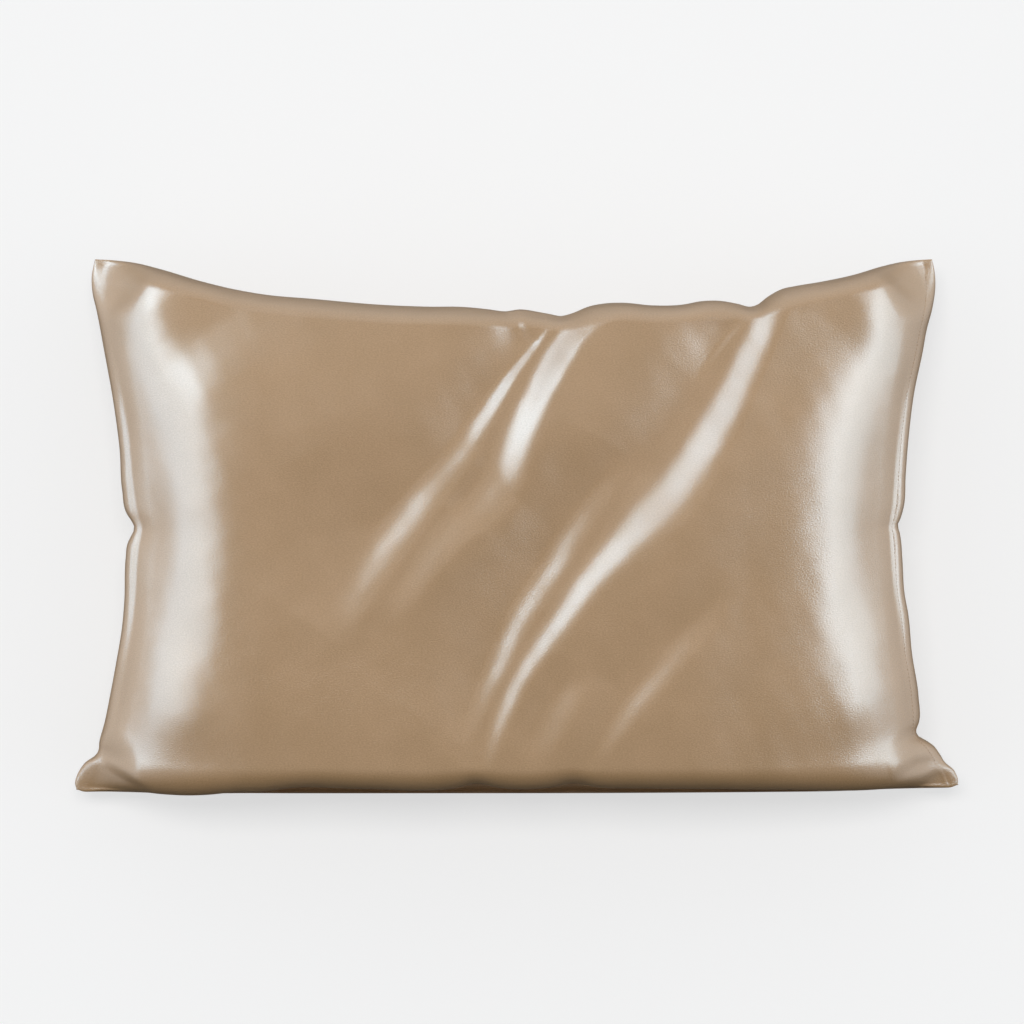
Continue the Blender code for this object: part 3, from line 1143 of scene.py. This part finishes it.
def new_piece(
    name: str,
    points: np.ndarray,
    quads: np.ndarray,
    triangles: np.ndarray,
    cloth: np.ndarray | None = None,
) -> bpy.types.Object:
    """Make an object of a mesh given as arrays, shaded smooth.

    Args:
        name: the piece's name.
        points: vertex places.
        quads: vertex numbers of the four-sided faces.
        triangles: vertex numbers of the three-sided faces.
        cloth: each vertex's place on the flat cloth, in metres, for the finish.

    Returns:
        The object, linked to the scene.
    """
    mesh = bpy.data.meshes.new(name)
    mesh.vertices.add(len(points))
    mesh.vertices.foreach_set("co", points.astype(np.float32).ravel())
    corners = np.concatenate([quads.ravel(), triangles.ravel()])
    mesh.loops.add(len(corners))
    mesh.loops.foreach_set("vertex_index", corners.astype(np.int32))
    sizes = np.concatenate([np.full(len(quads), 4), np.full(len(triangles), 3)])
    mesh.polygons.add(len(sizes))
    starts = np.concatenate([[0], np.cumsum(sizes)[:-1]])
    mesh.polygons.foreach_set("loop_start", starts.astype(np.int32))
    mesh.update(calc_edges=True)
    mesh.validate()
    if cloth is not None:
        mapped = mesh.uv_layers.new(name=CLOTH_MAP)
        order = np.empty(len(mesh.loops), dtype=np.int32)
        mesh.loops.foreach_get("vertex_index", order)
        mapped.data.foreach_set("uv", cloth[order].astype(np.float32).ravel())
    mesh.shade_smooth()
    piece = bpy.data.objects.new(name, mesh)
    bpy.context.scene.collection.objects.link(piece)
    return piece


# ---- The studio ----


class Task(Enum):
    """What a lamp is there for: its soft light on all surfaces, or only its reflection in the satin."""

    LIGHT = "light"
    REFLECTION = "reflection"


@dataclass(frozen=True)
class Lamp:
    """One soft lamp. Its brightness is its face's own, where a lit white surface has about 1."""

    name: str
    place: tuple[float, float, float]
    size: tuple[float, float]
    brightness: float
    colour: str
    task: Task


# Long strip lamps beyond the two short sides, which the satin mirrors, and one soft lamp high up.
LAMPS = (
    Lamp("left_lamp", (-1.31, 1.00, 1.02), (3.0, 0.60), 5.8, "c9e8ff", Task.REFLECTION),
    Lamp("left_window", (-1.31, 1.40, 1.02), (2.0, 0.60), 5.6, "c9e8ff", Task.REFLECTION),
    Lamp("left_skirt", (-1.58, 0.90, 0.45), (2.8, 0.70), 4.9, "bce2ff", Task.REFLECTION),
    Lamp("right_lamp", (1.31, 0.50, 1.02), (1.9, 0.60), 7.6, "ceeaff", Task.REFLECTION),
    Lamp("right_skirt", (1.58, 0.50, 0.45), (1.9, 0.70), 4.3, "caeaff", Task.REFLECTION),
    Lamp("upper_lamp", (-0.6, 1.75, 7.6), (1.9, 4.0), 11.6, "ffffff", Task.LIGHT),
)


@dataclass(frozen=True)
class Glow:
    """One share of the room's light: as a value runs from start to end, it goes from least to most."""

    start: float
    end: float
    least: float
    most: float


@dataclass
class Studio:
    """The pale floor, the lamps, the room's own light and the camera straight above the face."""

    frame_width: float = 0.863
    camera_distance: float = 4.0
    sensor: float = 36.0
    aim: tuple[float, float, float] = (-0.0038, 0.0122, 0.068)
    floor_side: float = 12.0
    lamp_aim_height: float = 0.08
    room_colour: str = "f0f8ff"
    upward: tuple[float, float, float] = (0.0, 0.8, 0.6)
    upward_glow: Glow = Glow(-0.6, 0.0, 0.02, 0.32)
    side_glow: Glow = Glow(0.5, 0.95, 0.0, 1.2)
    top_glow: Glow = Glow(0.5, 0.95, 0.0, 0.75)

    def build_floor(self) -> None:
        """Lay the floor."""
        bpy.ops.mesh.primitive_plane_add(size=self.floor_side)
        floor = bpy.context.object
        floor.name = "floor"
        floor.data.materials.append(PaleFloor().material())
        floor.visible_diffuse = False
        floor.visible_glossy = False

    def build_lights(self) -> None:
        """Hang the lamps, each turned towards the plane x = 0 and hidden from the camera."""
        for lamp in LAMPS:
            data = bpy.data.lights.new(lamp.name, "AREA")
            data.shape = "RECTANGLE"
            data.size, data.size_y = lamp.size
            data.energy = lamp.brightness * math.pi * lamp.size[0] * lamp.size[1]
            data.color = linear(lamp.colour)[:3]
            hung = bpy.data.objects.new(lamp.name, data)
            hung.location = lamp.place
            way = Vector((0, lamp.place[1], self.lamp_aim_height)) - Vector(lamp.place)
            hung.rotation_euler = way.to_track_quat("-Z", "Y").to_euler()
            hung.visible_camera = False
            hung.visible_glossy = lamp.task is Task.REFLECTION
            hung.visible_diffuse = lamp.task is Task.LIGHT
            bpy.context.scene.collection.objects.link(hung)

    def build_room(self) -> None:
        """Light the room: dim below the lower edge, brighter upwards, at both sides and past the top."""
        world = bpy.data.worlds.new("studio")
        world.use_nodes = True
        tree = world.node_tree
        way = add_node(tree, "ShaderNodeTexCoord").outputs["Generated"]
        parts = add_node(tree, "ShaderNodeSeparateXYZ", inputs={0: way})
        aside = add_node(tree, "ShaderNodeMath", {"operation": "ABSOLUTE"}, {0: parts.outputs["X"]})
        rise = add_node(tree, "ShaderNodeVectorMath", {"operation": "DOT_PRODUCT"}, {0: way, 1: self.upward})
        strength = None
        for value, glow in (
            (rise.outputs["Value"], self.upward_glow),
            (aside.outputs[0], self.side_glow),
            (parts.outputs["Y"], self.top_glow),
        ):
            ramp = {"Value": value, "From Min": glow.start, "From Max": glow.end}
            ramp.update({"To Min": glow.least, "To Max": glow.most})
            part = add_node(tree, "ShaderNodeMapRange", inputs=ramp).outputs["Result"]
            if strength is None:
                strength = part
            else:
                strength = add_node(tree, "ShaderNodeMath", inputs={0: strength, 1: part}).outputs[0]
        background = tree.nodes["Background"]
        background.inputs["Color"].default_value = linear(self.room_colour)
        tree.links.new(strength, background.inputs["Strength"])
        bpy.context.scene.world = world

    def build_camera(self) -> None:
        """Hang the camera straight above the face, framed as the photo is."""
        data = bpy.data.cameras.new("camera")
        data.sensor_width = self.sensor
        data.lens = self.sensor * self.camera_distance / self.frame_width
        camera = bpy.data.objects.new("camera", data)
        x, y, z = self.aim
        camera.location = (x, y, z + self.camera_distance)
        bpy.context.scene.collection.objects.link(camera)
        bpy.context.scene.camera = camera
        bpy.context.scene.view_settings.view_transform = "Standard"


def main() -> None:
    """Build the studio and the pillowcase, dress them, and note the size."""
    logging.basicConfig(level=logging.INFO, format="%(message)s")
    studio = Studio()
    studio.build_camera()
    studio.build_lights()
    studio.build_room()
    studio.build_floor()
    case = Pillowcase()
    piece = case.build()
    piece.data.materials.append(case.finish.material())
    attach(piece, BODY)
    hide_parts(NODE)
    LOG.info("%s: %d faces", piece.name, len(piece.data.polygons))
    sewing = Stitches()
    stitches = sewing.build(case.hem_line())
    stitches.data.materials.append(sewing.finish.material())
    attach(stitches, BODY)
    LOG.info("%s: %d faces", stitches.name, len(stitches.data.polygons))


if __name__ == "__main__":
    main()
